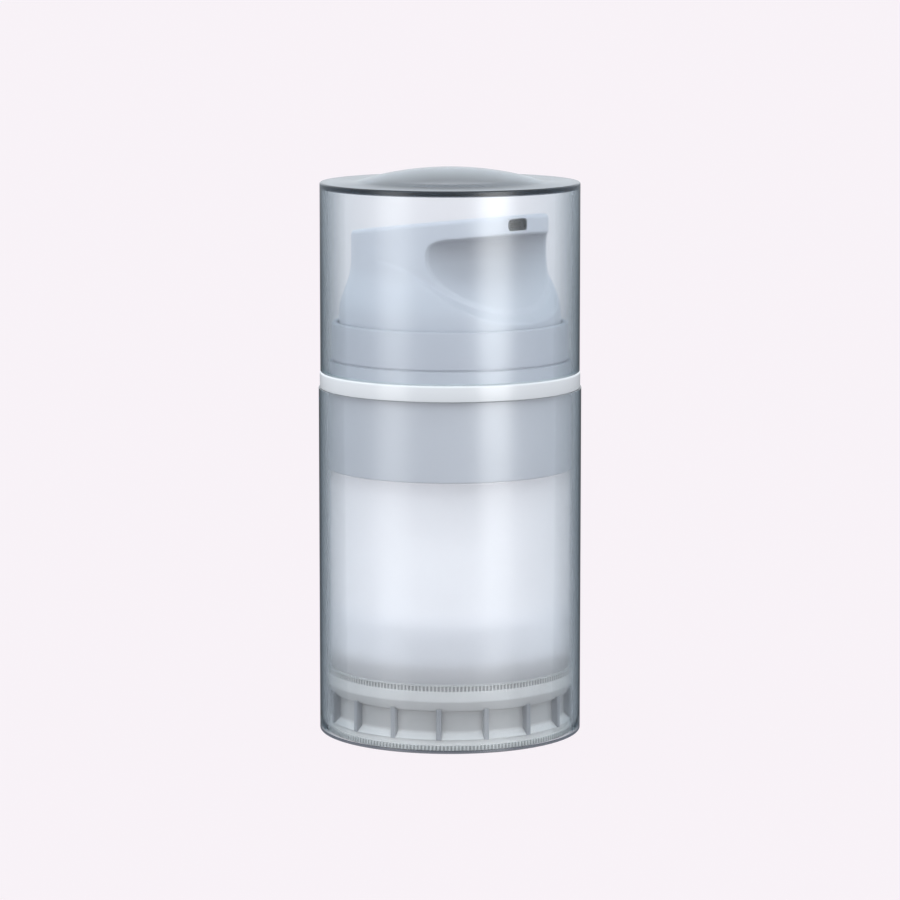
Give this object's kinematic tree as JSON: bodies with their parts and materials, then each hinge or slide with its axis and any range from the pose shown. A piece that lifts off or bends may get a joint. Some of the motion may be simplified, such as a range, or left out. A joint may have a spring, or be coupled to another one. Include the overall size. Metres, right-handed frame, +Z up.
{
  "type": "airless pump bottle",
  "caption": "Clear round airless pump bottle with a milky inner container, ribbed base, white shoulder ring and a sloping push head under a clear domed cap.",
  "frame": {"origin": "centre of the underside, on the surface the bottle stands on", "axes": "+Z up the bottle's axis; the nozzle faces -Y; +X to the right of someone facing the nozzle's back"},
  "size_m": [0.046, 0.046, 0.0992],
  "materials": {
    "clear_cap": "clear moulded plastic, polished",
    "clear_bottle": "clear moulded plastic, polished outside, slightly satin inside",
    "milky_plastic": "translucent moulded polypropylene",
    "head_plastic": "pale moulded polypropylene, satin",
    "dark_plastic": "dark grey moulded plastic",
    "white_plastic": "white moulded plastic, glossy",
    "grey_plastic": "pale grey moulded plastic, satin",
    "base_plastic": "translucent moulded plastic, glossy",
    "piston_plastic": "natural soft moulded plastic",
    "pump_plastic": "natural moulded polypropylene",
    "soft_rubber": "soft sealing rubber",
    "steel": "bright drawn stainless steel"
  },
  "bodies": {
    "bottle": {"outer_bottle": "clear_bottle", "bottle_base": "base_plastic", "container_base": "base_plastic", "inner_container": "milky_plastic", "neck_sleeve": "grey_plastic", "housing_gasket": "soft_rubber", "pump_housing": "pump_plastic", "valve_seat": "pump_plastic", "stem_guide": "pump_plastic", "shoulder_collar": "white_plastic", "return_spring": "steel"},
    "follower": {"follower_piston": "piston_plastic"},
    "ball": {"inlet_ball": "steel"},
    "stem": {"pump_stem": "pump_plastic", "stem_plug": "pump_plastic"},
    "sleeve_piston": {"pump_piston": "piston_plastic"},
    "head": {"actuator_cover": "head_plastic", "spout_core": "head_plastic", "nozzle_tip": "dark_plastic"},
    "cap": {"overcap": "clear_cap"}
  },
  "joints": [
    {"name": "cap_lift", "type": "slide", "parent": "bottle", "child": "cap", "axis": [0, 0, 1], "range_m": [0, 0.04]},
    {"name": "head_press", "type": "slide", "parent": "bottle", "child": "stem", "axis": [0, 0, -1], "range_m": [0, 0.004], "stiffness_N_per_m": 2000, "springref_m": -0.004, "deforming": ["return_spring"]},
    {"name": "head_turn", "type": "hinge", "parent": "stem", "child": "head", "pos_m": [0, 0, 0.072], "axis": [0, 0, 1], "continuous": true},
    {"name": "piston_slip", "type": "slide", "parent": "stem", "child": "sleeve_piston", "axis": [0, 0, 1], "range_m": [0, 0.0008]},
    {"name": "ball_lift", "type": "slide", "parent": "bottle", "child": "ball", "axis": [0, 0, 1], "range_m": [0, 0.0008]},
    {"name": "follower_rise", "type": "slide", "parent": "bottle", "child": "follower", "axis": [0, 0, 1], "range_m": [0, 0.022]}
  ]
}
